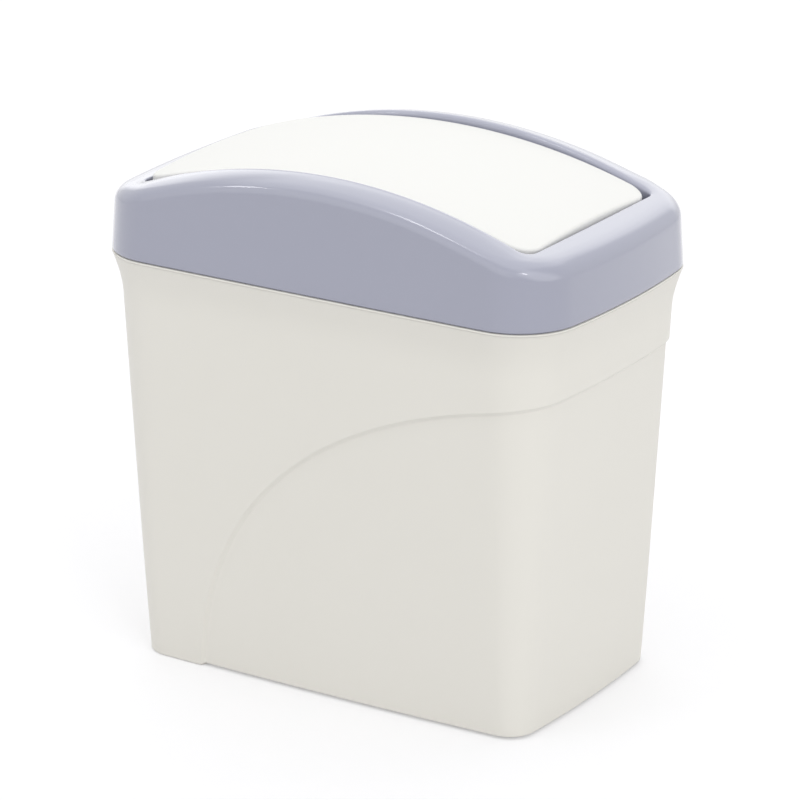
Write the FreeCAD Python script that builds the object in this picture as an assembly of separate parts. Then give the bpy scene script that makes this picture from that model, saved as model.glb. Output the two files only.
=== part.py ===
import FreeCAD, Part
import math
import os

# A small desk bin: a tapered bucket, a lift-off cover and a flap that rocks in the cover's mouth.
# Millimetres, +Z up, +X along the length, origin on the table under the middle of the bucket.

# Bucket: the foot is the outline of the sunk panel, the rim is the outline of the flared top
foot_length = 181.2
foot_width = 107.5
foot_corner = 11.2
foot_end_radius = 545.0
foot_side_radius = 2100.0
foot_shift = 0.95
foot_bevel = 0.5
rim_height = 170.0
rim_length = 213.5
rim_width = 129.3
rim_corner = 26.5
rim_end_radius = 379.0
rim_side_radius = 12000.0
rim_bevel = 0.6
flare_width = 3.3
flare_height = 12.5
flare_blend = 6.0
flare_steps = 4
bucket_wall = 1.8
floor_thickness = 2.5
stand_recess = 1.5
stand_ring_width = 7.0
lip_height = 5.5
lip_wall = 1.6

# Sunk panel on the bucket: a step line from the foot up to the end wall, seen along Y, and an undercut at its foot
panel_depth = 1.2
panel_foot_offset = 57.9
panel_end_drop = 30.2
panel_foot_lean = 2.8
panel_foot_handle = 115.0
panel_end_rise = 5.2
panel_end_handle = 39.3
undercut_height = 1.0
undercut_depth = 2.5

# Cover: a hollow ring under an arched top that flattens towards its ends
cover_wall = 2.0
cover_draw_in = 3.4
crown_rise = 44.7
crown_radius = 234.5
crown_end_band = 24.0
saddle_radius = 40.0
end_slope = 9.0
shoulder_round = 8.0
mouth_end_band = 17.5
mouth_side_band = 16.45
mouth_corner = 5.5
mouth_round = 0.8
curtain_wall = 1.8
curtain_depth = 13.0
seam_gap = 0.65
seam_depth = 1.4

# Flap: a plate arched along its length and a little across its width, with a skirt round its edge
flap_end_gap = 1.0
flap_side_gap = 0.8
flap_corner = 10.0
flap_flatter = 46.0
flap_crown = 2.2
flap_drop = 0.1
flap_wall = 2.0
flap_skirt = 5.0
flap_edge_round = 1.0
flap_rest_tilt = 0.65

# Pivots of the flap
pivot_drop = 6.0
pin_radius = 1.5
pin_grip = 5.0
pin_head_radius = 3.0
pin_head_height = 1.5
socket_radius = 3.6
socket_height = 1.2
boss_length = 9.0
boss_drop = 3.2

# Clearances
lip_clearance = 0.4
pin_clearance = 0.05
head_clearance = 0.3
overrun = 5.0

# Directions, and how much of a face's normal or an edge points up for it to count as facing up or upright
upward = FreeCAD.Vector(0, 0, 1)
along = FreeCAD.Vector(1, 0, 0)
across = FreeCAD.Vector(0, 1, 0)
upward_share = 0.5
upright_share = 0.2

# Sizes and levels worked out from the ones above
crown_height = rim_height + crown_rise
crown_half_length = rim_length / 2 - crown_end_band
mouth_length = rim_length - 2 * mouth_end_band
mouth_width = rim_width - 2 * mouth_side_band
flap_length = mouth_length - 2 * flap_end_gap
flap_width = mouth_width - 2 * flap_side_gap
flap_radius = crown_radius + flap_flatter
pivot_height = crown_height - pivot_drop
flap_height = crown_height - flap_drop
lip_top = rim_height + lip_height
clear_top = crown_height + overrun
floor_top = stand_recess + floor_thickness
flare_start = rim_height - flare_height
cover_lean = cover_draw_in / (clear_top - rim_height)
lip_inset = cover_wall + cover_lean * lip_height + lip_clearance

# A plan is half length, half width, radius of the ends, radius of the sides, radius of the corners
rim_plan = (rim_length / 2, rim_width / 2, rim_end_radius, rim_side_radius, rim_corner)
foot_plan = (foot_length / 2, foot_width / 2, foot_end_radius, foot_side_radius, foot_corner)


def shrunk(plan, inset):
    return tuple(size - inset for size in plan)


def mixed(low_plan, high_plan, share):
    return tuple(low + (high - low) * share for low, high in zip(low_plan, high_plan))


# Closed outline of four bowed sides and four corner arcs, each tangent to the next, at one height
def outline(plan, height):
    half_length, half_width, end_radius, side_radius, corner = plan
    end_centre = half_length - end_radius
    side_centre = half_width - side_radius
    end_reach = end_radius - corner
    side_reach = side_radius - corner
    span = math.hypot(end_centre, side_centre)
    run = (end_reach ** 2 - side_reach ** 2 + span ** 2) / (2 * span)
    off = math.sqrt(end_reach ** 2 - run ** 2)
    corner_x = end_centre - (run * end_centre + off * side_centre) / span
    corner_y = (run * side_centre - off * end_centre) / span
    to_end = ((corner_x - end_centre) / end_reach, corner_y / end_reach)
    to_side = (corner_x / side_reach, (corner_y - side_centre) / side_reach)
    middle_size = math.hypot(to_end[0] + to_side[0], to_end[1] + to_side[1])
    end_x = corner_x + corner * to_end[0]
    end_y = corner_y + corner * to_end[1]
    side_x = corner_x + corner * to_side[0]
    side_y = corner_y + corner * to_side[1]
    mid_x = corner_x + corner * (to_end[0] + to_side[0]) / middle_size
    mid_y = corner_y + corner * (to_end[1] + to_side[1]) / middle_size
    quarter = [(half_length, 0), (end_x, end_y), (mid_x, mid_y), (side_x, side_y)]
    back = [(0, half_width), (-side_x, side_y), (-mid_x, mid_y), (-end_x, end_y)]
    half = quarter + back
    ring = half + [(-x, -y) for x, y in half]
    points = [FreeCAD.Vector(x, y, height) for x, y in ring]
    points = points[-1:] + points[:-1]
    arcs = []
    for start in range(0, len(points), 2):
        finish = (start + 2) % len(points)
        arcs.append(Part.Arc(points[start], points[start + 1], points[finish]).toShape())
    return Part.Wire(arcs)


# Solid through plans at rising heights, straight between one and the next
def stacked(levels):
    return Part.makeLoft([outline(plan, height) for plan, height in levels], True, True)


# The same for the bucket, whose foot stands a little off the middle of its rim
def leaning(levels):
    wires = []
    for plan, height in levels:
        wire = outline(plan, height)
        wire.translate(along * foot_shift * (1 - height / rim_height))
        wires.append(wire)
    return Part.makeLoft(wires, True, True)


# Solid under a closed wire in the XZ plane, run right through the part along Y
def run_across(edges):
    reach = rim_width / 2 + overrun
    face = Part.Face(Part.Wire(Part.__sortEdges__(edges)))
    face.translate(-across * reach)
    return face.extrude(across * (reach + reach))


# Upright block with rounded corners, centred on the origin in plan
def rounded_block(length, width, corner, low, high):
    corner_point = FreeCAD.Vector(-length / 2, -width / 2, low)
    block = Part.makeBox(length, width, high - low, corner_point)
    uprights = [edge for edge in block.Edges if abs(edge.tangentAt(edge.FirstParameter).z) > upward_share]
    return block.makeFillet(corner, uprights)


# Cylinder along Y
def crossbar(radius, x, z, start, length):
    return Part.makeCylinder(radius, length, FreeCAD.Vector(x, start, z), across)


# Edges where an upward face meets an upright one
def brow_edges(shape):
    tops = []
    sides = []
    for face in shape.Faces:
        low_u, high_u, low_v, high_v = face.ParameterRange
        lift = face.normalAt((low_u + high_u) / 2, (low_v + high_v) / 2).z
        if lift > upward_share:
            tops.append(face)
        elif abs(lift) < upright_share:
            sides.append(face)
    side_edges = [edge for face in sides for edge in face.Edges]
    return [edge for face in tops for edge in face.Edges if any(edge.isSame(side) for side in side_edges)]


# How far the wall stands out from its straight taper: a straight flare with a parabola leading in
def flare_at(height):
    steep = flare_width / flare_height
    lead = height - flare_start + flare_blend
    if lead <= 0:
        return 0
    if lead < 2 * flare_blend:
        return steep * lead ** 2 / (4 * flare_blend)
    return steep * (height - flare_start)


# Plan of the bucket's outer wall, proud of the sunk panel
def wall_plan(height):
    proud_foot = shrunk(foot_plan, -panel_depth)
    neck = shrunk(rim_plan, flare_width)
    return shrunk(mixed(proud_foot, neck, height / rim_height), -flare_at(height))


def bucket_levels(inset):
    blend_low = flare_start - flare_blend
    heights = [foot_bevel]
    heights += [blend_low + 2 * flare_blend * step / flare_steps for step in range(flare_steps + 1)]
    heights.append(rim_height - rim_bevel)
    levels = [(shrunk(wall_plan(foot_bevel), inset + foot_bevel), 0)]
    levels += [(shrunk(wall_plan(height), inset), height) for height in heights]
    levels.append((shrunk(rim_plan, inset + rim_bevel), rim_height))
    return levels


# Everything under and beyond the step line
def panel_region():
    lean = math.radians(panel_foot_lean)
    rise = math.radians(panel_end_rise)
    foot = FreeCAD.Vector(-panel_foot_offset, 0, 0)
    top = FreeCAD.Vector(rim_length / 2, 0, rim_height - panel_end_drop)
    foot_pole = foot + FreeCAD.Vector(math.sin(lean), 0, math.cos(lean)) * panel_foot_handle
    top_pole = top - FreeCAD.Vector(math.cos(rise), 0, math.sin(rise)) * panel_end_handle
    curve = Part.BezierCurve()
    curve.setPoles([foot, foot_pole, top_pole, top])
    below_foot = foot - upward * overrun
    below_top = FreeCAD.Vector(top.x, 0, below_foot.z)
    edges = [curve.toShape()]
    edges.append(Part.makeLine(top, below_top))
    edges.append(Part.makeLine(below_top, below_foot))
    edges.append(Part.makeLine(below_foot, foot))
    return run_across(edges)


# Ring round the foot, all that lies outside one inset and below the undercut's height
def foot_ring(inset):
    inner_plan = shrunk(wall_plan(0), inset)
    outside = stacked([(rim_plan, -overrun), (rim_plan, undercut_height)])
    return outside.cut(leaning([(inner_plan, -overrun), (inner_plan, undercut_height)]))


def make_bin_body():
    panel = panel_region()
    proud = leaning(bucket_levels(0))
    sunk = leaning(bucket_levels(panel_depth))
    bucket = proud.cut(panel.cut(sunk))
    bucket = bucket.cut(panel.common(foot_ring(panel_depth + undercut_depth)))
    lip_plan = shrunk(rim_plan, lip_inset)
    lip = stacked([(lip_plan, rim_height - lip_wall), (lip_plan, lip_top)])
    bucket = bucket.fuse(lip)
    inset = panel_depth + bucket_wall
    mouth_plan = shrunk(lip_plan, lip_wall)
    floor_plan = shrunk(wall_plan(floor_top), inset)
    neck_plan = shrunk(wall_plan(flare_start), inset)
    hollow = leaning([(floor_plan, floor_top), (neck_plan, flare_start), (mouth_plan, rim_height)])
    throat = stacked([(mouth_plan, rim_height), (mouth_plan, lip_top + overrun)])
    under_plan = shrunk(foot_plan, stand_ring_width)
    under = leaning([(under_plan, -overrun), (under_plan, stand_recess)])
    return bucket.cut([hollow, throat, under])


# Everything under the cover's top: a crown arc, a hollow saddle arc each side and sloping ends
def under_arch(drop):
    half_angle = math.asin(crown_half_length / crown_radius)
    slope = math.radians(end_slope)
    crown_centre = crown_height - crown_radius
    reach = rim_length / 2 + overrun
    saddle_x = (crown_radius + saddle_radius) * math.sin(half_angle)
    saddle_z = crown_centre + (crown_radius + saddle_radius) * math.cos(half_angle)

    def saddle_point(angle):
        hollow = saddle_radius + drop
        return saddle_x - hollow * math.sin(angle), saddle_z - hollow * math.cos(angle)

    joint = saddle_point(half_angle)
    middle = saddle_point((half_angle + slope) / 2)
    leave = saddle_point(slope)
    end = (reach, leave[1] - (reach - leave[0]) * math.tan(slope))
    low = (reach, rim_height - overrun)
    right = [FreeCAD.Vector(x, 0, z) for x, z in (joint, middle, leave, end, low)]
    left = [FreeCAD.Vector(-point.x, 0, point.z) for point in right]
    crown = FreeCAD.Vector(0, 0, crown_height - drop)
    edges = [Part.Arc(left[0], crown, right[0]).toShape()]
    for joint, middle, leave, end, low in (right, left):
        edges.append(Part.Arc(joint, middle, leave).toShape())
        edges.append(Part.makeLine(leave, end))
        edges.append(Part.makeLine(end, low))
    edges.append(Part.makeLine(left[-1], right[-1]))
    return run_across(edges)


# The cover's rounded dome, drawn in from its outside by one inset
def cover_dome(inset, low):
    levels = [(shrunk(rim_plan, inset + cover_lean * (low - rim_height)), low)]
    levels.append((shrunk(rim_plan, inset + cover_draw_in), clear_top))
    dome = stacked(levels).common(under_arch(inset))
    return dome.makeFillet(shoulder_round - inset, brow_edges(dome))


# Thick round seat for a pin, on the hidden face of the mouth's curtain wall
def socket_wall(side):
    start = mouth_width / 2
    length = curtain_wall + socket_height
    near = side * start if side > 0 else -start - length
    return crossbar(socket_radius, 0, pivot_height, near, length)


def make_lid_frame():
    dome = cover_dome(0, rim_height)
    mouth = rounded_block(mouth_length, mouth_width, mouth_corner, rim_height - overrun, clear_top)
    ring = dome.cut(mouth)
    mouth_edges = []
    for edge in brow_edges(ring):
        place = edge.CenterOfMass
        if abs(place.x) < mouth_length / 2 + mouth_round and abs(place.y) < mouth_width / 2 + mouth_round:
            mouth_edges.append(edge)
    ring = ring.makeFillet(mouth_round, mouth_edges)
    grown = 2 * curtain_wall
    curtain = rounded_block(mouth_length + grown, mouth_width + grown, mouth_corner + curtain_wall,
                            rim_height, clear_top)
    curtain = curtain.cut(under_arch(curtain_depth))
    for side in (-1, 1):
        curtain = curtain.fuse(socket_wall(side))
    frame = ring.cut(cover_dome(cover_wall, rim_height - overrun).cut(curtain))
    seam_outside = stacked([(shrunk(rim_plan, -overrun), rim_height - overrun),
                            (shrunk(rim_plan, -overrun), rim_height + seam_gap)])
    seam_inside = stacked([(shrunk(rim_plan, seam_depth), rim_height - overrun),
                           (shrunk(rim_plan, seam_depth), rim_height + seam_gap)])
    frame = frame.cut(seam_outside.cut(seam_inside))
    bore = crossbar(pin_radius + pin_clearance, 0, pivot_height, -rim_width / 2, rim_width)
    inner_half = mouth_width / 2 + curtain_wall + socket_height
    bore = bore.common(Part.makeBox(mouth_length, 2 * inner_half, clear_top,
                                    FreeCAD.Vector(-mouth_length / 2, -inner_half, 0)))
    return frame.cut(bore)


def tilted(shape):
    turned = shape.copy()
    turned.rotate(FreeCAD.Vector(0, 0, pivot_height), across, flap_rest_tilt)
    return turned


# Everything under the flap's top face, lowered by one drop: an arc across the width, turned about an axis along Y
def under_flap(drop):
    side = flap_width / 2
    radius = flap_radius - drop
    crown_arc_radius = (side ** 2 + flap_crown ** 2) / (2 * flap_crown)
    reach = side + overrun
    reach_sag = crown_arc_radius - math.sqrt(crown_arc_radius ** 2 - reach ** 2)
    crown = FreeCAD.Vector(0, 0, -radius)
    near = FreeCAD.Vector(0, -reach, reach_sag - radius)
    far = FreeCAD.Vector(0, reach, reach_sag - radius)
    near_axis = FreeCAD.Vector(0, -reach, 0)
    far_axis = FreeCAD.Vector(0, reach, 0)
    edges = [Part.Arc(near, crown, far).toShape()]
    edges.append(Part.makeLine(far, far_axis))
    edges.append(Part.makeLine(far_axis, near_axis))
    edges.append(Part.makeLine(near_axis, near))
    barrel = Part.Face(Part.Wire(edges)).revolve(FreeCAD.Vector(), across, 360)
    barrel.translate(upward * (flap_height - flap_radius))
    return barrel


def make_swing_flap():
    low = rim_height
    slab = rounded_block(flap_length, flap_width, flap_corner, low, clear_top).common(under_flap(0))
    slab = slab.makeFillet(flap_edge_round, brow_edges(slab))
    inset = 2 * flap_wall
    inside = rounded_block(flap_length - inset, flap_width - inset, flap_corner - flap_wall, low, clear_top)
    flap = slab.cut(under_flap(flap_skirt)).cut(inside.common(under_flap(flap_wall)))
    for side in (-1, 1):
        depth = pin_grip + flap_wall
        near = flap_width / 2 - depth if side > 0 else -flap_width / 2
        corner_point = FreeCAD.Vector(-boss_length / 2, near, pivot_height - boss_drop)
        boss = Part.makeBox(boss_length, depth, flap_height - flap_wall / 2 - corner_point.z, corner_point)
        flap = flap.fuse(boss.common(under_flap(flap_wall / 2)))
        bore_near = flap_width / 2 - pin_grip if side > 0 else -flap_width / 2 - overrun
        flap = flap.cut(crossbar(pin_radius, 0, pivot_height, bore_near, pin_grip + overrun))
    return tilted(flap)


# A headed pin pushed from the hollow rail, through the curtain wall, into the flap's boss
def make_pivot_pin(side):
    inner = flap_width / 2 - pin_grip
    head = mouth_width / 2 + curtain_wall + socket_height + head_clearance
    shank_start = inner if side > 0 else -head
    head_start = head if side > 0 else -head - pin_head_height
    shank = crossbar(pin_radius, 0, pivot_height, shank_start, head - inner)
    return shank.fuse(crossbar(pin_head_radius, 0, pivot_height, head_start, pin_head_height))


def save(name, shape):
    whole = shape.removeSplitter()
    print(name, "solids", len(whole.Solids), "valid", whole.isValid(), "volume", round(whole.Volume))
    whole.exportStep("parts/" + name + ".step")


os.makedirs("parts", exist_ok=True)
save("bin_body", make_bin_body())
save("lid_frame", make_lid_frame())
save("swing_flap", make_swing_flap())
save("pivot_pin_front", make_pivot_pin(-1))
save("pivot_pin_rear", make_pivot_pin(1))
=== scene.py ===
import math
import bmesh
import bpy
import numpy as np
from mathutils import Matrix, Vector


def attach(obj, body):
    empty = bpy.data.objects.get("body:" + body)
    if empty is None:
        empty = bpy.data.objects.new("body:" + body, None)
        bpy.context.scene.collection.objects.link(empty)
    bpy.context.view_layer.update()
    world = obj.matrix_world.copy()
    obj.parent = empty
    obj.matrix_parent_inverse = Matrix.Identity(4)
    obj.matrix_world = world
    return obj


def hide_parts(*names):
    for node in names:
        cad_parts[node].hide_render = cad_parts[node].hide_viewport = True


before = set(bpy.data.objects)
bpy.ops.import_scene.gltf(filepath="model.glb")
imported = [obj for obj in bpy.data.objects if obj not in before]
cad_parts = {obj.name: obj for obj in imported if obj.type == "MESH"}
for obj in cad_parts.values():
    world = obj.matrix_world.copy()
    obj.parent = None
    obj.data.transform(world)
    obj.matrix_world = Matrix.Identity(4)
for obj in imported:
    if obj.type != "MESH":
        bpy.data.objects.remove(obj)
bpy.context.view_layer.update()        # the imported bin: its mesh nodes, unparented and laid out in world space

perMetre = 0.001         # every size in the dictionaries is in millimetres
weldDistance = 1e-6      # metres
farRadius = 40000.0      # a side this gently bowed counts as straight
print("frame loaded", sorted(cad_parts))


# camera: where the photograph was taken from, and what it looks at
camera = {
    "place": (882.46, -1411.14, 697.89),
    "aim": (-0.06, 3.31, 107.97),
    "roll": -0.24,       # degrees
    "lens": 198.76,
    "sensor": 36.0,
    "clip": (0.05, 50.0),  # metres
}


def makeCamera(spec):
    place = Vector(spec["place"]) * perMetre
    back = (place - Vector(spec["aim"]) * perMetre).normalized()
    right = Vector((0, 0, 1)).cross(back).normalized()
    up = back.cross(right)
    roll = math.radians(spec["roll"])
    leanUp = up * math.cos(roll) + right * math.sin(roll)
    leanRight = leanUp.cross(back)
    data = bpy.data.cameras.new("photoCamera")
    data.lens = spec["lens"]
    data.sensor_width = spec["sensor"]
    data.clip_start, data.clip_end = spec["clip"]
    piece = bpy.data.objects.new("photoCamera", data)
    turn = Matrix((leanRight, leanUp, back)).transposed()
    piece.matrix_world = Matrix.Translation(place) @ turn.to_4x4()
    bpy.context.scene.collection.objects.link(piece)
    bpy.context.scene.camera = piece


makeCamera(camera)
bpy.context.scene.view_settings.view_transform = "Standard"
print("camera set")


# outline of a bowed, round-cornered plan: in each quarter an end arc, a corner arc and a side arc,
# tangent to each other
outlineShares = {"end": 0.28, "side": 0.48}     # where the corner arc starts and stops in a quarter


def quarterArcs(plan):
    # the corner's centre lies where a circle inside the end arc meets a circle inside the side arc
    halfLength, halfWidth, endRadius, sideRadius, corner = np.moveaxis(plan, -1, 0)
    endCentre = halfLength - endRadius
    sideCentre = halfWidth - sideRadius
    endReach = endRadius - corner
    sideReach = sideRadius - corner
    span = np.hypot(endCentre, sideCentre)
    along = (endReach ** 2 - sideReach ** 2 + span ** 2) / (2 * span)
    off = np.sqrt(endReach ** 2 - along ** 2)
    cornerX = endCentre - (along * endCentre + off * sideCentre) / span
    cornerY = (along * sideCentre - off * endCentre) / span
    endAngle = np.arctan2(cornerY, cornerX - endCentre)
    sideAngle = np.arctan2(cornerY - sideCentre, cornerX)
    return endCentre, sideCentre, cornerX, cornerY, endAngle, sideAngle


def outlinePoint(plan, turn):
    # turn counts quarters from the middle of the +X end
    # in each quarter the normal's angle runs through the three arcs
    endCentre, sideCentre, cornerX, cornerY, endAngle, sideAngle = quarterArcs(plan)
    endRadius, sideRadius, corner = plan[..., 2], plan[..., 3], plan[..., 4]
    quarter = np.floor(turn)
    share = turn - quarter
    share = np.where(quarter % 2 == 1, 1 - share, share)
    first, last = outlineShares["end"], outlineShares["side"]
    angle = np.clip(share / first, 0, 1) * endAngle
    angle = angle + np.clip((share - first) / (last - first), 0, 1) * (sideAngle - endAngle)
    angle = angle + np.clip((share - last) / (1 - last), 0, 1) * (np.pi / 2 - sideAngle)
    onEnd, onSide = share < first, share > last
    x = np.where(onEnd, endCentre + endRadius * np.cos(angle),
                 np.where(onSide, sideRadius * np.cos(angle), cornerX + corner * np.cos(angle)))
    y = np.where(onEnd, endRadius * np.sin(angle),
                 np.where(onSide, sideCentre + sideRadius * np.sin(angle), cornerY + corner * np.sin(angle)))
    quarter = quarter % 4
    return np.where((quarter == 1) | (quarter == 2), -x, x), np.where(quarter >= 2, -y, y)


def smoothStep(share):
    # cubic that leaves 0 and reaches 1 level
    share = np.clip(share, 0, 1)
    return share * share * (3 - 2 * share)


def quarterBend(count):
    # angles through a quarter turn
    return np.linspace(0, np.pi / 2, count)


def stackPoints(x, y, z):
    x, y, z = np.broadcast_arrays(x, y, z)
    return np.stack([x, y, z], axis=-1)


def mirroredLoop(half):
    # a front half, from the -X end's middle to the +X end's middle, closed by its mirror image in Y
    return np.concatenate([half, (half * np.array([1, -1, 1]))[:, -2:0:-1]], axis=1)


def mirroredStrip(half):
    # a strip that ends at the +X end's middle, carried on by its mirror image in Y
    return np.concatenate([half, (half * np.array([1, -1, 1]))[:, -2::-1]], axis=1)


def drawnIn(row, heights, shares):
    # rows that scale one outline towards the middle of its own plan
    rows = row[None] * np.array([1, 1, 0]) * np.asarray(shares)[:, None, None]
    rows[..., 2] = np.asarray(heights)[:, None]
    return rows


def gridFaces(rows, columns, closed, first):
    # quads between neighbours of a grid, with the last column joined to the first where it is closed
    low = np.arange(rows - 1)[:, None] * columns
    here = np.arange(columns if closed else columns - 1)[None]
    after = (here + 1) % columns
    quads = np.stack([low + here, low + after, low + columns + after, low + columns + here], axis=-1)
    return quads.reshape(-1, 4) + first


def makePiece(name, patches, body, nodes):
    # patches are (points on a grid, closed or not)
    # edges that coincide are welded, and all faces turned outwards
    points, faces, first = [], [], 0
    for patch, closed in patches:
        rows, columns = patch.shape[:2]
        points.append(patch.reshape(-1, 3))
        faces.append(gridFaces(rows, columns, closed, first))
        first += rows * columns
    points = np.concatenate(points) * perMetre
    faces = np.concatenate(faces)
    mesh = bpy.data.meshes.new(name)
    mesh.from_pydata(points.tolist(), [], faces.tolist())
    work = bmesh.new()
    work.from_mesh(mesh)
    bmesh.ops.remove_doubles(work, verts=work.verts, dist=weldDistance)
    bmesh.ops.dissolve_degenerate(work, edges=work.edges, dist=weldDistance)
    bmesh.ops.recalc_face_normals(work, faces=work.faces)
    openEdges = sum(1 for edge in work.edges if len(edge.link_faces) != 2)
    work.to_mesh(mesh)
    work.free()
    mesh.polygons.foreach_set("use_smooth", np.ones(len(mesh.polygons), bool))
    mesh.update()
    piece = bpy.data.objects.new(name, mesh)
    bpy.context.scene.collection.objects.link(piece)
    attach(piece, body)
    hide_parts(*nodes)
    print(name, len(mesh.vertices), "points", len(mesh.polygons), "faces", openEdges, "open edges")
    return piece


# bucket: tapered wall with a flared rim, a lip for the cover and a sunk panel under a curved step
bucket = {
    "foot": (90.6, 53.75, 545.0, 2100.0, 11.2),       # half length, half width, end radius, side radius, corner
    "rim": (106.75, 64.65, 379.0, 12000.0, 26.5),
    "rimHeight": 170.0, "rimRound": 0.6, "footShift": 0.95,
    "flare": 3.3, "flareHeight": 12.5, "flareBlend": 6.0,
    "stepDepth": 1.2, "stepHalf": 1.0,                # of the sunk panel, and half the width of its soft edge
    "stepFoot": 57.9, "stepDrop": 30.2,               # where the step's curve starts and ends
    "footLean": 2.8, "footHandle": 115.0, "endRise": 5.2, "endHandle": 39.3,
    "wallFoot": 1.3, "footRound": 0.5, "undercutHeight": 1.0, "undercutDepth": 2.5, "undercutEdge": 0.3,
    "ring": 7.0, "ringLead": 1.0, "ringEdge": 0.2, "recess": 1.5,
    "wall": 1.8, "floorTop": 4.0, "floorRound": 3.0,
    "lipInset": 2.78, "lipWall": 1.6, "lipTop": 175.5, "lipRound": 0.5,
    "lipFoot": (0.3, 0.1, 0.15, 0.6), "lipPlain": 1.0,    # a crisp foot for the lip, and its straight part
    "leftColumns": 64, "stepColumns": 150, "wallRows": 26,
    "stripRows": 11, "flareRows": 18, "roundRows": 5, "throatRows": 7, "insideRows": 20,
    "floorRows": 7, "floorRings": 10,
    "curveSteps": (1200, 300, 400), "settlePasses": 12,   # on the drawn curve, its steep part and its flat part
    "spreadUp": 0.2, "spreadDown": 0.6, "spreadReach": 60.0,   # how the columns fan out from the foot of the step
}
footPlan, rimPlan = np.array(bucket["foot"]), np.array(bucket["rim"])


def wallPlan(height):
    # straight taper from the foot to the neck, plus a flare that starts as a parabola and goes on straight
    height = np.asarray(height, float)
    proudFoot = footPlan + bucket["stepDepth"]
    neck = rimPlan - bucket["flare"]
    start, blend = bucket["rimHeight"] - bucket["flareHeight"], bucket["flareBlend"]
    steep = bucket["flare"] / bucket["flareHeight"]
    lead = np.clip(height - start + blend, 0, None)
    flare = np.where(lead < 2 * blend, steep * lead ** 2 / (4 * blend), steep * (height - start))
    taper = proudFoot + (neck - proudFoot) * (height / bucket["rimHeight"])[..., None]
    return taper + flare[..., None]


def footLeans(height):
    # the foot stands a little off the middle of the rim, and the walls lean with it
    return bucket["footShift"] * (1 - height / bucket["rimHeight"])


def wallPoint(turn, height, inset):
    turn, height, inset = np.broadcast_arrays(turn, np.asarray(height, float), np.asarray(inset, float))
    x, y = outlinePoint(wallPlan(height) - inset[..., None], turn)
    return stackPoints(x + footLeans(height), y, height)


def stepCurve():
    # a cubic curve seen from the front, put on the wall by its own x as far as the middle,
    # and from there by going round the wall
    lean, rise = math.radians(bucket["footLean"]), math.radians(bucket["endRise"])
    foot = np.array([-bucket["stepFoot"], 0.0])
    top = np.array([rimPlan[0], bucket["rimHeight"] - bucket["stepDrop"]])
    footPole = foot + bucket["footHandle"] * np.array([math.sin(lean), math.cos(lean)])
    topPole = top - bucket["endHandle"] * np.array([math.cos(rise), math.sin(rise)])
    drawnSteps, steepSteps, flatSteps = bucket["curveSteps"]
    t = np.linspace(0, 1, drawnSteps)[:, None]
    curve = ((1 - t) ** 3 * foot + 3 * t * (1 - t) ** 2 * footPole
             + 3 * t ** 2 * (1 - t) * topPole + t ** 3 * top)
    curveX, curveZ = curve.T
    steep = np.linspace(np.interp(bucket["wallFoot"], curveZ, curveX), 0, steepSteps)
    steepZ = np.interp(steep, curveX, curveZ)
    *_, sideAngle = quarterArcs(wallPlan(steepZ))
    sideRadius = wallPlan(steepZ)[..., 3]
    last = outlineShares["side"]
    share = (np.arccos((footLeans(steepZ) - steep) / sideRadius) - sideAngle) / (np.pi / 2 - sideAngle)
    steepTurn = 2 + last + share * (1 - last)
    flatTurn = np.linspace(steepTurn[-1], 4, flatSteps)[1:]
    flatZ = np.full(flatTurn.shape, steepZ[-1])
    for _ in range(bucket["settlePasses"]):
        flatZ = np.interp(wallPoint(flatTurn, flatZ, 0)[:, 0], curveX, curveZ)
    turn, height = np.concatenate([steepTurn, flatTurn]), np.concatenate([steepZ, flatZ])
    run = wallPoint(turn, height, 0)
    length = np.concatenate([[0], np.cumsum(np.linalg.norm(np.diff(run, axis=0), axis=1))])
    even = np.linspace(0, length[-1], bucket["stepColumns"])
    return np.interp(even, length, turn), np.interp(even, length, height), even


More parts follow.
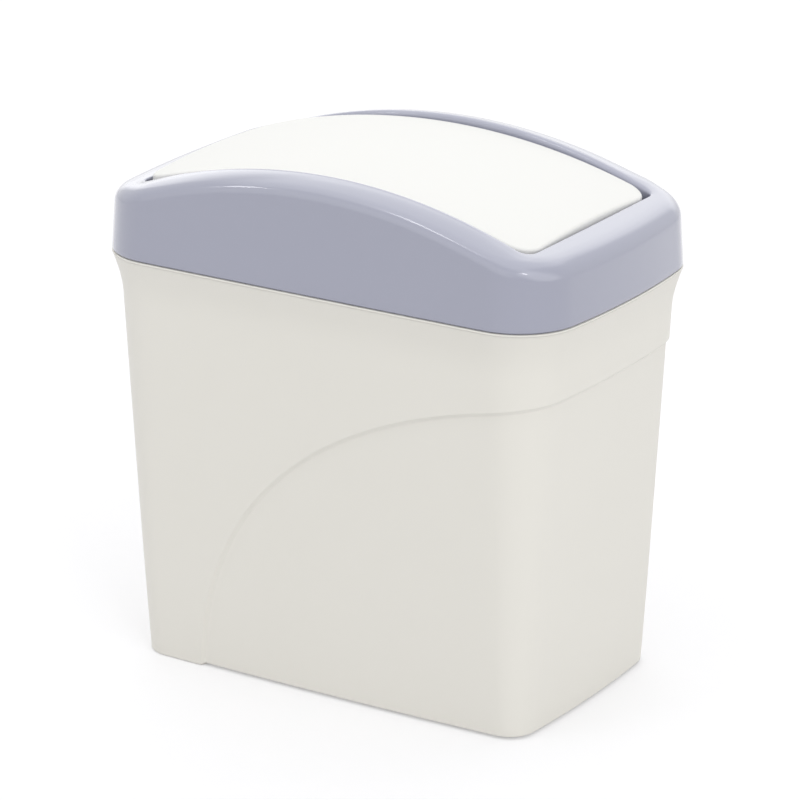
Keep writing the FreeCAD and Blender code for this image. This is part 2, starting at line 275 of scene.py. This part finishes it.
def makeBucket():
    turn, height, run = stepCurve()
    low, depth, half = bucket["wallFoot"], bucket["stepDepth"], bucket["stepHalf"]
    nudge = 1e-4                                      # of a quarter, to measure how far a turn goes
    speed = np.linalg.norm(wallPoint(turn - nudge, height, 0) - wallPoint(turn, height, 0), axis=1) / nudge
    along = np.gradient(turn) * speed
    climb = np.gradient(height)
    climb[-1] = 0
    size = np.hypot(along, climb)
    # from the proud edge to the sunk edge
    offsets = half * np.cos(np.linspace(0, np.pi, bucket["stripRows"]))[:, None]
    stripTurn = turn - offsets * climb / size / speed
    stripHeight = np.maximum(height + offsets * along / size, low)
    stripHeight[:, 0] = low
    stripTurn[:, -1] = 4
    stripInset = depth * (1 - smoothStep((offsets / half + 1) / 2))
    strip = wallPoint(stripTurn, stripHeight, stripInset)

    fan = np.exp(-run / bucket["spreadReach"])
    fanFade = 1 - run / run[-1]
    footTurn = stripTurn[-1] + bucket["spreadDown"] * run / bucket["spreadReach"] * fan * fanFade
    rows = np.linspace(0, 1, bucket["wallRows"])[:, None]
    sunkTurn = stripTurn[-1] + (footTurn - stripTurn[-1]) * rows
    sunkHeight = stripHeight[-1] + (low - stripHeight[-1]) * rows
    sunk = wallPoint(sunkTurn, sunkHeight, depth)

    leftTurn = np.linspace(2, stripTurn[0, 0], bucket["leftColumns"])
    leftRun = (leftTurn[-1] - leftTurn) * speed[0]
    leftFan = np.exp(-leftRun / bucket["spreadReach"]) * (leftTurn - 2) / (leftTurn[-1] - 2)
    lowTurn = np.concatenate([leftTurn, stripTurn[0, 1:]])
    lowHeight = np.concatenate([np.full(leftTurn.shape, low), stripHeight[0, 1:]])
    topTurn = lowTurn - bucket["spreadUp"] * np.concatenate([leftFan, (fan * fanFade)[1:]])
    topHeight = bucket["rimHeight"] - bucket["flareHeight"] - bucket["flareBlend"]
    proudTurn = lowTurn + (topTurn - lowTurn) * rows
    proudHeight = lowHeight + (topHeight - lowHeight) * rows
    proud = wallPoint(proudTurn, proudHeight, 0)

    rim, rimRound = bucket["rimHeight"], bucket["rimRound"]
    flareRows = np.linspace(topHeight, rim - rimRound, bucket["flareRows"])[:, None]
    upper = [wallPoint(topTurn, flareRows, 0)]

    def rimRows(insets, heights):
        insets, heights = np.asarray(insets, float)[:, None], np.asarray(heights, float)[:, None]
        x, y = outlinePoint(rimPlan - insets[..., None], topTurn + 0 * insets)
        upper.append(stackPoints(x, y, heights))

    bend = quarterBend(bucket["roundRows"])
    rimRows(rimRound * (1 - np.cos(bend)), rim - rimRound * (1 - np.sin(bend)))
    lipOut, lipTop, lipRound = bucket["lipInset"], bucket["lipTop"], bucket["lipRound"]
    lipIn = lipOut + bucket["lipWall"]
    lead, crisp, rise, riseInside = bucket["lipFoot"]
    straightTop = lipTop - lipRound - bucket["lipPlain"]
    rimRows([lipOut - lead, lipOut - crisp, lipOut, lipOut], [rim, rim, rim + rise, straightTop])
    rimRows(lipOut + lipRound * (1 - np.cos(bend)), lipTop - lipRound * (1 - np.sin(bend)))
    rimRows(lipIn - lipRound * (1 - np.sin(bend)), lipTop - lipRound * (1 - np.cos(bend)))
    rimRows([lipIn, lipIn, lipIn], [straightTop, rim + riseInside, rim])
    neckHeight = rim - bucket["flareHeight"]
    inset = depth + bucket["wall"]
    lipPlan, neckPlan = rimPlan - lipIn, wallPlan(neckHeight) - inset
    throatRows = bucket["throatRows"]
    shares = smoothStep(np.linspace(0, 1, throatRows))[1:, None, None]
    throatX, throatY = outlinePoint(lipPlan + (neckPlan - lipPlan) * shares, topTurn + 0 * shares[..., 0])
    throatHeight = np.linspace(rim, neckHeight, throatRows)[1:, None]
    upper.append(stackPoints(throatX + footLeans(throatHeight), throatY, throatHeight))
    floorTop, floorRound = bucket["floorTop"], bucket["floorRound"]
    inside = np.linspace(neckHeight, floorTop + floorRound, bucket["insideRows"])[1:, None]
    upper.append(wallPoint(topTurn, inside, inset))
    bend = quarterBend(bucket["floorRows"])[1:, None]
    upper.append(wallPoint(topTurn, floorTop + floorRound * (1 - np.sin(bend)),
                           inset + floorRound * (1 - np.cos(bend))))
    upper = np.concatenate(upper)
    floorShares = np.linspace(1, 0, bucket["floorRings"])[1:]
    upper = np.concatenate([upper, drawnIn(upper[-1], np.full(floorShares.shape, floorTop), floorShares)])

    baseTurn = np.concatenate([leftTurn, stripTurn[1:, 0], footTurn[1:]])
    sunkShare = np.concatenate([np.zeros(leftTurn.shape), stripInset[1:, 0] / depth,
                                np.ones(footTurn.shape)[1:]])
    small, edge = bucket["footRound"], bucket["undercutEdge"]
    high, deep = bucket["undercutHeight"], bucket["undercutDepth"]
    proudFoot = [(0, low), (0, high), (0, (high + small) / 2), (0, small), (small * 0.3, small * 0.3), (small, 0),
                 (deep / 2, 0), (deep + edge, 0)]
    sunkFoot = [(0, low), (edge * 0.3, high + edge * 0.3), (edge, high), (deep / 2, high), (deep - edge / 3, high),
                (deep, high - edge / 3), (deep, edge / 3), (deep + edge, 0)]
    proudFoot, sunkFoot = np.array(proudFoot)[:, None], np.array(sunkFoot)[:, None]
    footRows = proudFoot + (sunkFoot - proudFoot) * sunkShare[:, None]
    footInset, footHeight = footRows[..., 0], footRows[..., 1]
    x, y = outlinePoint(wallPlan(low) - (depth * sunkShare + footInset)[..., None], baseTurn + 0 * footInset)
    base = [stackPoints(x + footLeans(0), y, footHeight)]
    ringPlan, crisp = footPlan - bucket["ring"], bucket["ringEdge"]
    ringInsets = np.array([-bucket["ringLead"], -crisp, 0, 0, crisp])[:, None]
    x, y = outlinePoint(ringPlan - ringInsets[..., None], baseTurn + 0 * ringInsets)
    recess = bucket["recess"]
    ringHeights = np.array([0, 0, crisp, recess - crisp, recess])[:, None]
    base.append(stackPoints(x + footLeans(0), y, ringHeights))
    base = np.concatenate(base)
    base = np.concatenate([base, drawnIn(base[-1], np.full(floorShares.shape, recess), floorShares)])

    patches = [
        (mirroredStrip(strip), False),
        (mirroredStrip(sunk), False),
        (mirroredLoop(proud), True),
        (mirroredLoop(upper), True),
        (mirroredLoop(base), True),
    ]
    return makePiece("bucketShell", patches, "bucket", ["bin_body"])


bucketShell = makeBucket()


# cover: a hollow ring with wall and shoulder outside, an arched top, a rounded mouth
# and a thin curtain wall down its inside
cover = {
    "wall": 2.0, "drawIn": 3.4, "drawHeight": 49.7,
    "crown": 214.7, "crownRadius": 234.5, "crownHalf": 82.75,
    "saddleRadius": 40.0, "endSlope": 9.0,
    "topRadius": 24.0, "topReach": 11.2,
    "sideShoulder": (5.5, 24.0), "endShoulder": (6.1, 9.0),    # tight arc's radius, wide arc's degrees
    "endStart": 66.0, "endFull": 96.0,                # where along the length the one turns into the other
    "mouth": (89.25, 48.2, farRadius, farRadius, 5.5), "mouthRound": (0.8, 1.9),    # on the ends and on the sides
    "curtain": 1.8, "curtainDrop": 13.0, "curtainRound": 0.5,
    "seamGap": 0.65, "seamDepth": 1.4, "seamRound": 0.25, "seamCorners": (0.1, 0.05),
    "wallRows": 12, "tightRows": 14, "wideRows": 12, "topRows": 6, "mouthRows": 9, "curtainRows": 6,
    "insideRows": 10, "seamRows": 5, "smallRows": 4,
    "columns": (26, 28, 52),                          # on an end, a corner and a side, in each quarter
}
pivot = {"height": 208.7, "radius": 1.5, "socketRadius": 3.6, "socketHeight": 1.2, "headRadius": 3.0,
         "headHeight": 1.5, "headGap": 0.3, "grip": 5.0, "edge": 0.25}
mouthPlan = np.array(cover["mouth"])


def archHeight(x):
    # a crown arc, a small hollow arc that turns it towards the level, then a straight slope to the end
    radius, hollow = cover["crownRadius"], cover["saddleRadius"]
    steep = math.asin(cover["crownHalf"] / radius)
    slope = math.radians(cover["endSlope"])
    saddleX = (radius + hollow) * math.sin(steep)
    saddleZ = cover["crown"] - radius + (radius + hollow) * math.cos(steep)
    leaveX, leaveZ = saddleX - hollow * math.sin(slope), saddleZ - hollow * math.cos(slope)
    x = np.abs(x)
    crown = cover["crown"] - radius + np.sqrt(np.clip(radius ** 2 - x ** 2, 0, None))
    saddle = saddleZ - np.sqrt(np.clip(hollow ** 2 - (saddleX - x) ** 2, 0, None))
    straight = leaveZ - (x - leaveX) * math.tan(slope)
    return np.where(x < cover["crownHalf"], crown, np.where(x < leaveX, saddle, straight))


def quarterTurns(counts, extra=()):
    # turns of one whole loop: even steps on each arc of a quarter, mirrored into the other quarters
    first, last = outlineShares["end"], outlineShares["side"]
    steps = np.concatenate([np.linspace(0, first, counts[0]), np.linspace(first, last, counts[1]),
                            np.linspace(last, 1, counts[2]), np.asarray(extra, float)])
    steps = np.unique(np.round(steps, 9))
    half = np.concatenate([steps, 2 - steps[-2::-1]])
    return np.concatenate([half, 2 + half[1:-1]])


def coverRow(turn, inset, height):
    # one outline of the rim, drawn in by an inset and a little more with height
    inset = inset + 0 * turn
    x, y = outlinePoint(rimPlan - inset[..., None], turn)
    z = height(x)
    draw = cover["drawIn"] * (z - bucket["rimHeight"]) / cover["drawHeight"]
    x, y = outlinePoint(rimPlan - (inset + draw)[..., None], turn)
    return stackPoints(x, y, height(x))


def mouthRow(turn, grow, drop):
    x, y = outlinePoint(mouthPlan + (grow + 0 * turn)[..., None], turn)
    return stackPoints(x, y, archHeight(x) - drop)


def mouthLip(turn):
    # radius of the mouth's rounded edge, growing round the corner from the ends to the sides
    _, y = outlinePoint(mouthPlan + 0 * turn[..., None], turn)
    onEnds, onSides = cover["mouthRound"]
    half, corner = mouthPlan[1], mouthPlan[4]
    return onEnds + (onSides - onEnds) * smoothStep((np.abs(y) - half + corner) / corner)


def shoulderProfile(wall, tight, tilt):
    # inset and drop from the wall's top up to the level top: a tight arc, then a wide one,
    # both a wall's thickness inside
    tilt, wide = math.radians(tilt), cover["topRadius"]
    tightDrop = wide + (tight - wide) * math.cos(tilt)
    wideInset = tight + (wide - tight) * math.sin(tilt)
    levelTilt = math.asin(max(wideInset - cover["topReach"], 0) / wide)
    profile = [(tight - (tight - wall) * math.sin(bend), tightDrop - (tight - wall) * math.cos(bend))
               for bend in np.linspace(np.pi / 2, tilt, cover["tightRows"])]
    profile += [(wideInset - (wide - wall) * math.sin(bend), wide - (wide - wall) * math.cos(bend))
                for bend in np.linspace(tilt, levelTilt, cover["wideRows"])[1:]]
    return np.array(profile)[..., None]


def shoulderRows(wall, turn):
    # the sides' profile, fading into the ends' fuller one along the length
    x, _ = outlinePoint(rimPlan + 0 * turn[..., None], turn)
    endShare = smoothStep((np.abs(x) - cover["endStart"]) / (cover["endFull"] - cover["endStart"]))
    side = shoulderProfile(wall, *cover["sideShoulder"])
    return side + (shoulderProfile(wall, *cover["endShoulder"]) - side) * endShare


def makeCover():
    turn = quarterTurns(cover["columns"])
    base, gap, deep, edge = bucket["rimHeight"], cover["seamGap"], cover["seamDepth"], cover["seamRound"]
    wall, lip = cover["wall"], mouthLip(turn)
    outside, inside = shoulderRows(0, turn), shoulderRows(wall, turn)
    rows = []

    def atHeight(inset, height):
        rows.append(coverRow(turn, inset, lambda x: height + 0 * x))

    def underArch(inset, drop):
        rows.append(coverRow(turn, inset, lambda x: archHeight(x) - drop))

    def atMouth(grow, drop):
        rows.append(mouthRow(turn, grow, drop))

    def between(low, dropLow, shares, inset):
        for share in shares:
            rows.append(coverRow(turn, inset, lambda x: low + (archHeight(x) - dropLow - low) * share))

    lowCorner, highCorner = cover["seamCorners"]
    atHeight(wall, base)
    atHeight(deep + lowCorner, base)
    atHeight(deep, base + lowCorner)
    atHeight(deep, base + gap - highCorner)
    atHeight(deep - highCorner, base + gap)
    for bend in quarterBend(cover["seamRows"]):
        atHeight(edge * (1 - math.sin(bend)), base + gap + edge * (1 - math.cos(bend)))
    between(base + gap + edge, outside[0][1], np.linspace(0, 1, cover["wallRows"])[1:], 0)
    for inset, drop in outside[1:]:
        underArch(inset, drop)
    inner, outer = mouthRow(turn, lip, 0), rows[-1]
    for share in np.linspace(0, 1, cover["topRows"])[1:]:
        row = outer + (inner - outer) * share
        row[..., 2] = archHeight(row[..., 0])
        rows.append(row)
    for bend in quarterBend(cover["mouthRows"])[1:]:
        atMouth(lip * (1 - math.sin(bend)), lip * (1 - math.cos(bend)))
    drop, small, thick = cover["curtainDrop"], cover["curtainRound"], cover["curtain"]
    curtainShares, smallBends = np.linspace(0, 1, cover["curtainRows"])[1:], quarterBend(cover["smallRows"])
    for share in curtainShares:
        atMouth(0, lip + (drop - small - lip) * share)
    for bend in smallBends[1:]:
        atMouth(small * (1 - math.cos(bend)), drop - small * (1 - math.sin(bend)))
    for bend in smallBends:
        atMouth(thick - small * (1 - math.sin(bend)), drop - small * (1 - math.cos(bend)))
    for share in curtainShares:
        atMouth(thick, drop - small + (wall + small - drop + small) * share)
    for bend in smallBends[1:]:
        atMouth(thick + small * (1 - math.cos(bend)), wall + small * (1 - math.sin(bend)))
    for inset, drop in inside[::-2]:
        underArch(inset, drop)
    between(base, inside[0][1], np.linspace(1, 0, cover["insideRows"])[1:-1], wall)
    patches = [(np.stack(rows + rows[:1]), True)]
    for side in (-1, 1):
        patches.append((socketRing(side), True))
    return makePiece("coverRing", patches, "cover", ["lid_frame"])


def roundTable(profile, side, columns=48):
    # a profile of (distance from the middle plane, radius) turned about the pivot axis
    profile = np.asarray(profile, float)
    angle = np.arange(columns) * 2 * np.pi / columns
    x = profile[:, 1:] * np.cos(angle)
    z = pivot["height"] + profile[:, 1:] * np.sin(angle)
    return stackPoints(x, side * profile[:, :1] + 0 * x, z)


def socketRing(side):
    start = mouthPlan[1] + cover["curtain"]
    end, out, hole, edge = start + pivot["socketHeight"], pivot["socketRadius"], pivot["radius"], pivot["edge"]
    start -= cover["curtain"] / 2
    profile = [(start, hole), (start, out), (end - edge, out), (end - edge / 3, out - edge / 3), (end, out - edge),
               (end, hole + edge), (end - edge, hole), (start, hole)]
    return roundTable(profile, side)


coverRing = makeCover()


# flap: a plate arched along its length and a little across its width, with a skirt,
# thickened where the pivot pins go in
flap = {
    "plan": (88.25, 47.4, farRadius, farRadius, 10.0),
    "top": 214.6, "radius": 280.5, "crown": 2.2, "wall": 2.0, "skirt": 5.0, "edge": 1.0, "skirtRound": 0.5,
    "bossHalf": 4.5, "bossSoft": 0.25, "bossDepth": 5.0, "bossDrop": 1.9,
    "tilt": 0.65,        # degrees about the pivot, left end up
    "columns": (26, 18, 48), "bossColumns": 9,
    "topRings": 30, "underRings": 24, "edgeRows": 7, "skirtRows": 5, "smallRows": 4,
}
flapPlan = np.array(flap["plan"])


def flapHeight(x, y):
    # an arc across the width, turned about an axis along the width:
    # each slice is a circle, smaller by the sag at its y
    crown, side = flap["crown"], flapPlan[1]
    crownRadius = (side ** 2 + crown ** 2) / (2 * crown)
    sag = crownRadius - np.sqrt(crownRadius ** 2 - y ** 2)
    return flap["top"] - flap["radius"] + np.sqrt((flap["radius"] - sag) ** 2 - x ** 2)


def atRest(points):
    # turn about the pivot axis, which runs along Y
    tilt = math.radians(flap["tilt"])
    x, y, z = np.moveaxis(points, -1, 0)
    z = z - pivot["height"]
    return stackPoints(x * math.cos(tilt) + z * math.sin(tilt), y,
                       pivot["height"] - x * math.sin(tilt) + z * math.cos(tilt))


def makeFlap():
    last = outlineShares["side"]
    *_, sideAngle = quarterArcs(flapPlan)
    sideHalf = farRadius * math.cos(sideAngle)
    near = flap["bossHalf"] + flap["bossSoft"] * np.linspace(-2, 2, flap["bossColumns"])
    turn = quarterTurns(flap["columns"], 1 - near / sideHalf * (1 - last))
    plainX, plainY = outlinePoint(flapPlan + 0 * turn[:, None], turn)
    onBoss = (np.abs(plainY) > flapPlan[1] - flap["edge"]) * smoothStep(
        (flap["bossHalf"] + flap["bossSoft"] - np.abs(plainX)) / (2 * flap["bossSoft"]))
    rows = []

    def ring(inset, drop):
        x, y = outlinePoint(flapPlan - np.asarray(inset + 0 * turn)[:, None], turn)
        rows.append(stackPoints(x, y, flapHeight(x, y) - drop))

    def disc(inset, drop, shares):
        x, y = outlinePoint(flapPlan - np.asarray(inset + 0 * turn)[:, None], turn)
        for share in shares:
            rows.append(stackPoints(x * share, y * share, flapHeight(x * share, y * share) - drop))

    edge, skirt, small, wall = flap["edge"], flap["skirt"], flap["skirtRound"], flap["wall"]
    disc(edge, 0, np.linspace(0, 1, flap["topRings"])[:-1])
    for bend in np.linspace(np.pi / 2, 0, flap["edgeRows"]):
        ring(edge * (1 - math.cos(bend)), edge * (1 - math.sin(bend)))
    deep = skirt + flap["bossDrop"] * onBoss
    thick = wall + flap["bossDepth"] * onBoss
    skirtShares, smallBends = np.linspace(0, 1, flap["skirtRows"])[1:], quarterBend(flap["smallRows"])
    for share in skirtShares:
        ring(0, edge + (deep - small - edge) * share)
    for bend in smallBends[1:]:
        ring(small * (1 - math.cos(bend)), deep - small * (1 - math.sin(bend)))
    for bend in smallBends:
        ring(thick - small * (1 - math.sin(bend)), deep - small * (1 - math.cos(bend)))
    for share in skirtShares:
        ring(thick, deep - small + (wall + small - deep + small) * share)
    for bend in smallBends[1:]:
        ring(thick + small * (1 - math.cos(bend)), wall + small * (1 - math.sin(bend)))
    disc(thick + small, wall, np.linspace(1, 0, flap["underRings"])[1:])
    return makePiece("swingFlap", [(atRest(np.stack(rows)), True)], "flap", ["swing_flap"])


swingFlap = makeFlap()


def makePin(side, name, node):
    # a shank and a flat head with broken edges, turned about the pivot axis
    inner = flapPlan[1] - pivot["grip"]
    head = mouthPlan[1] + cover["curtain"] + pivot["socketHeight"] + pivot["headGap"]
    end, small, big, edge = head + pivot["headHeight"], pivot["radius"], pivot["headRadius"], pivot["edge"]
    profile = [(inner, 0), (inner, small - edge), (inner + edge / 3, small - edge / 3), (inner + edge, small),
               (head - edge, small), (head, small + edge), (head, big - edge), (head + edge / 3, big - edge / 3),
               (head + edge, big), (end - edge, big), (end - edge / 3, big - edge / 3),
               (end, big - edge), (end, 0)]
    return makePiece(name, [(roundTable(profile, side), True)], "flap", [node])


pinFront = makePin(-1, "pivotPinFront", "pivot_pin_front")
pinRear = makePin(1, "pivotPinRear", "pivot_pin_rear")


# finishes: one group for the faint unevenness of a moulding, used by every plastic with its own values
def newNode(tree, kind, place, **settings):
    node = tree.nodes.new(kind)
    node.location = place
    for name, value in settings.items():
        setattr(node, name, value)
    return node


plastic = {"ior": 1.49, "gloss": 0.5, "coatRough": 0.06, "flowDetail": 3.0, "grainDetail": 2.0}


def makeMouldGroup():
    # coarse noise for flow and cooling, fine noise for the grain of the mould, put out as a mask and a height
    group = bpy.data.node_groups.new("mouldUnevenness", "ShaderNodeTree")
    for name, default in (("Flow Scale", 12.0), ("Grain Scale", 1500.0),
                          ("Flow Height", 0.5), ("Grain Height", 0.5)):
        socket = group.interface.new_socket(name, in_out="INPUT", socket_type="NodeSocketFloat")
        socket.default_value = default
    for name in ("Flow", "Grain", "Height"):
        group.interface.new_socket(name, in_out="OUTPUT", socket_type="NodeSocketFloat")
    start = newNode(group, "NodeGroupInput", (-800, 0))
    end = newNode(group, "NodeGroupOutput", (600, 0))
    place = newNode(group, "ShaderNodeTexCoord", (-800, 300))
    flow = newNode(group, "ShaderNodeTexNoise", (-500, 200))
    flow.inputs["Detail"].default_value = plastic["flowDetail"]
    grain = newNode(group, "ShaderNodeTexNoise", (-500, -100))
    grain.inputs["Detail"].default_value = plastic["grainDetail"]
    flowHeight = newNode(group, "ShaderNodeMath", (-200, 200), operation="MULTIPLY")
    grainHeight = newNode(group, "ShaderNodeMath", (-200, -100), operation="MULTIPLY")
    total = newNode(group, "ShaderNodeMath", (100, 0), operation="ADD")
    link = group.links.new
    link(place.outputs["Object"], flow.inputs["Vector"])
    link(place.outputs["Object"], grain.inputs["Vector"])
    link(start.outputs["Flow Scale"], flow.inputs["Scale"])
    link(start.outputs["Grain Scale"], grain.inputs["Scale"])
    link(flow.outputs["Fac"], flowHeight.inputs[0])
    link(start.outputs["Flow Height"], flowHeight.inputs[1])
    link(grain.outputs["Fac"], grainHeight.inputs[0])
    link(start.outputs["Grain Height"], grainHeight.inputs[1])
    link(flowHeight.outputs[0], total.inputs[0])
    link(grainHeight.outputs[0], total.inputs[1])
    link(flow.outputs["Fac"], end.inputs["Flow"])
    link(grain.outputs["Fac"], end.inputs["Grain"])
    link(total.outputs[0], end.inputs["Height"])
    return group


mouldGroup = makeMouldGroup()
finishes = {
    "bucketCream": {"light": (0.86, 0.84, 0.78), "deep": (0.83, 0.81, 0.745), "rough": (0.42, 0.5), "flow": 9.0,
                    "grain": 2200.0, "flowHeight": 0.3, "grainHeight": 0.35, "bump": 0.05, "depth": 0.0003},
    "coverLavender": {"light": (0.365, 0.375, 0.463), "deep": (0.35, 0.36, 0.448), "rough": (0.16, 0.22),
                      "coat": 1.0, "flow": 14.0, "grain": 1800.0, "flowHeight": 0.5, "grainHeight": 0.05,
                      "bump": 0.02, "depth": 0.0003},
    "flapWhite": {"light": (0.86, 0.86, 0.84), "deep": (0.845, 0.845, 0.822), "rough": (0.5, 0.58),
                  "gloss": 0.1, "flow": 10.0, "grain": 2200.0, "flowHeight": 0.3, "grainHeight": 0.3,
                  "bump": 0.04, "depth": 0.0003},
    "pinWhite": {"light": (0.88, 0.88, 0.86), "deep": (0.85, 0.85, 0.83), "rough": (0.3, 0.38), "flow": 60.0,
                 "grain": 3000.0, "flowHeight": 0.3, "grainHeight": 0.3, "bump": 0.05, "depth": 0.0002},
}


def makePlastic(name, spec):
    material = bpy.data.materials.new(name)
    material.use_nodes = True
    tree = material.node_tree
    shader = tree.nodes["Principled BSDF"]
    shader.inputs["IOR"].default_value = plastic["ior"]
    shader.inputs["Specular IOR Level"].default_value = spec.get("gloss", plastic["gloss"])
    shader.inputs["Coat Weight"].default_value = spec.get("coat", 0.0)
    shader.inputs["Coat Roughness"].default_value = plastic["coatRough"]
    mould = newNode(tree, "ShaderNodeGroup", (-800, 0), node_tree=mouldGroup)
    for socket, value in (("Flow Scale", "flow"), ("Grain Scale", "grain"),
                          ("Flow Height", "flowHeight"), ("Grain Height", "grainHeight")):
        mould.inputs[socket].default_value = spec[value]
    tint = newNode(tree, "ShaderNodeMix", (-400, 200), data_type="RGBA")
    tint.inputs["A"].default_value = (*spec["deep"], 1)
    tint.inputs["B"].default_value = (*spec["light"], 1)
    rough = newNode(tree, "ShaderNodeMapRange", (-400, -50))
    rough.inputs["To Min"].default_value, rough.inputs["To Max"].default_value = spec["rough"]
    bump = newNode(tree, "ShaderNodeBump", (-400, -300))
    bump.inputs["Strength"].default_value = spec["bump"]
    bump.inputs["Distance"].default_value = spec["depth"]
    link = tree.links.new
    link(mould.outputs["Flow"], tint.inputs["Factor"])
    link(tint.outputs["Result"], shader.inputs["Base Color"])
    link(mould.outputs["Grain"], rough.inputs["Value"])
    link(rough.outputs["Result"], shader.inputs["Roughness"])
    link(mould.outputs["Height"], bump.inputs["Height"])
    link(bump.outputs["Normal"], shader.inputs["Normal"])
    return material


for piece, finish in ((bucketShell, "bucketCream"), (coverRing, "coverLavender"), (swingFlap, "flapWhite"),
                      (pinFront, "pinWhite"), (pinRear, "pinWhite")):
    material = bpy.data.materials.get(finish) or makePlastic(finish, finishes[finish])
    piece.data.materials.append(material)
print("finishes", len(bpy.data.materials))


# studio: a pale floor that keeps the shadow, an even white surround and soft lamps
studio = {
    "floorHalf": 8.0, "floorDrop": 0.0002, "floorColour": (0.7, 0.7, 0.715), "floorRough": 0.9, "floorGlow": 0.3,
    "surround": 0.58,
    "lamps": (           # a lamp of several layers, each wider than the last, has a soft edge
        {"name": "topPanel", "place": (-0.5, 0.6, 2.6), "size": (3.2, 3.9), "power": 34.5,
         "face": (0.0, 0.0, -1.0), "layers": 4, "grow": 0.15},
        {"name": "backPanel", "place": (-1.3, 2.6, 1.5), "size": (3.4, 1.2), "power": 16.0,
         "layers": 3, "grow": 0.3},
        {"name": "frontFill", "place": (-0.6, -3.0, 1.2), "size": (3.4, 1.8), "power": 14.0,
         "layers": 3, "grow": 0.4},
        {"name": "rightFill", "place": (3.0, -0.9, 1.4), "size": (3.6, 2.0), "power": 38.0,
         "layers": 3, "grow": 0.4},
        {"name": "leftStrip", "place": (-1.964, -1.611, 1.9), "size": (0.34, 0.22), "power": 1.6,
         "along": (0.083, -0.155, -0.045)},
        {"name": "middleStrip", "place": (-0.734, -1.47, 2.734), "size": (0.66, 0.22), "power": 3.0,
         "along": (0.16, -0.171, -0.036)},
        {"name": "rightStrip", "place": (1.894, -1.643, 1.994), "size": (0.5, 0.22), "power": 3.2,
         "along": (0.08, 0.115, -0.021)},
    ),
    "lampAim": (0.0, 0.0, 0.2),
    "layerLift": 0.02,   # keeps the layers of a lamp from lying in one plane
}


def seenStraight(tree):
    # 1 for rays that show the surround itself: from the camera, in a gloss or through a clear piece
    path = newNode(tree, "ShaderNodeLightPath", (-900, 0))
    first = newNode(tree, "ShaderNodeMath", (-700, 0), operation="MAXIMUM")
    second = newNode(tree, "ShaderNodeMath", (-500, 0), operation="MAXIMUM")
    tree.links.new(path.outputs["Is Camera Ray"], first.inputs[0])
    tree.links.new(path.outputs["Is Glossy Ray"], first.inputs[1])
    tree.links.new(first.outputs[0], second.inputs[0])
    tree.links.new(path.outputs["Is Transmission Ray"], second.inputs[1])
    return second.outputs[0]


def makeStudio(spec):
    world = bpy.data.worlds.new("whiteSurround")
    bpy.context.scene.world = world
    world.use_nodes = True
    tree = world.node_tree
    strength = newNode(tree, "ShaderNodeMapRange", (-250, 0))
    strength.inputs["To Min"].default_value = spec["surround"]
    strength.inputs["To Max"].default_value = 1.0
    tree.links.new(seenStraight(tree), strength.inputs["Value"])
    tree.links.new(strength.outputs["Result"], tree.nodes["Background"].inputs["Strength"])
    tree.nodes["Background"].inputs["Color"].default_value = (1, 1, 1, 1)

    half = spec["floorHalf"]
    mesh = bpy.data.meshes.new("paleFloor")
    mesh.from_pydata([(-half, -half, 0), (half, -half, 0), (half, half, 0), (-half, half, 0)], [], [(0, 1, 2, 3)])
    floor = bpy.data.objects.new("paleFloor", mesh)
    floor.location.z = -spec["floorDrop"]
    bpy.context.scene.collection.objects.link(floor)
    material = bpy.data.materials.new("paleFloor")
    material.use_nodes = True
    tree = material.node_tree
    shader = tree.nodes["Principled BSDF"]
    shader.inputs["Base Color"].default_value = (*spec["floorColour"], 1)
    shader.inputs["Roughness"].default_value = spec["floorRough"]
    shader.inputs["Specular IOR Level"].default_value = 0.0
    glow = newNode(tree, "ShaderNodeMath", (-250, -200), operation="MULTIPLY")
    glow.inputs[1].default_value = spec["floorGlow"]
    tree.links.new(seenStraight(tree), glow.inputs[0])
    shader.inputs["Emission Color"].default_value = (1, 1, 1, 1)
    tree.links.new(glow.outputs[0], shader.inputs["Emission Strength"])
    mesh.materials.append(material)

    for lamp in spec["lamps"]:
        away = (Vector(lamp["place"]) - Vector(spec["lampAim"])).normalized()
        if "face" in lamp:
            away = -Vector(lamp["face"])
        run = Vector(lamp.get("along", (1, 0, 0)))
        run = (run - away * run.dot(away)).normalized()
        turn = Matrix((run, away.cross(run), away)).transposed().to_euler()
        long, short = lamp["size"]
        grown = [2 * lamp.get("grow", 0.0) * layer for layer in range(lamp.get("layers", 1))]
        areas = [(long + more) * (short + more) for more in grown]
        for more, area in zip(grown, areas):
            data = bpy.data.lights.new(lamp["name"], "AREA")
            data.shape = "RECTANGLE"
            data.size, data.size_y = long + more, short + more
            data.energy = lamp["power"] * area / sum(areas)
            piece = bpy.data.objects.new(lamp["name"], data)
            piece.location = Vector(lamp["place"]) + away * more * spec["layerLift"]
            piece.rotation_euler = turn
            bpy.context.scene.collection.objects.link(piece)


makeStudio(studio)
print("studio set")
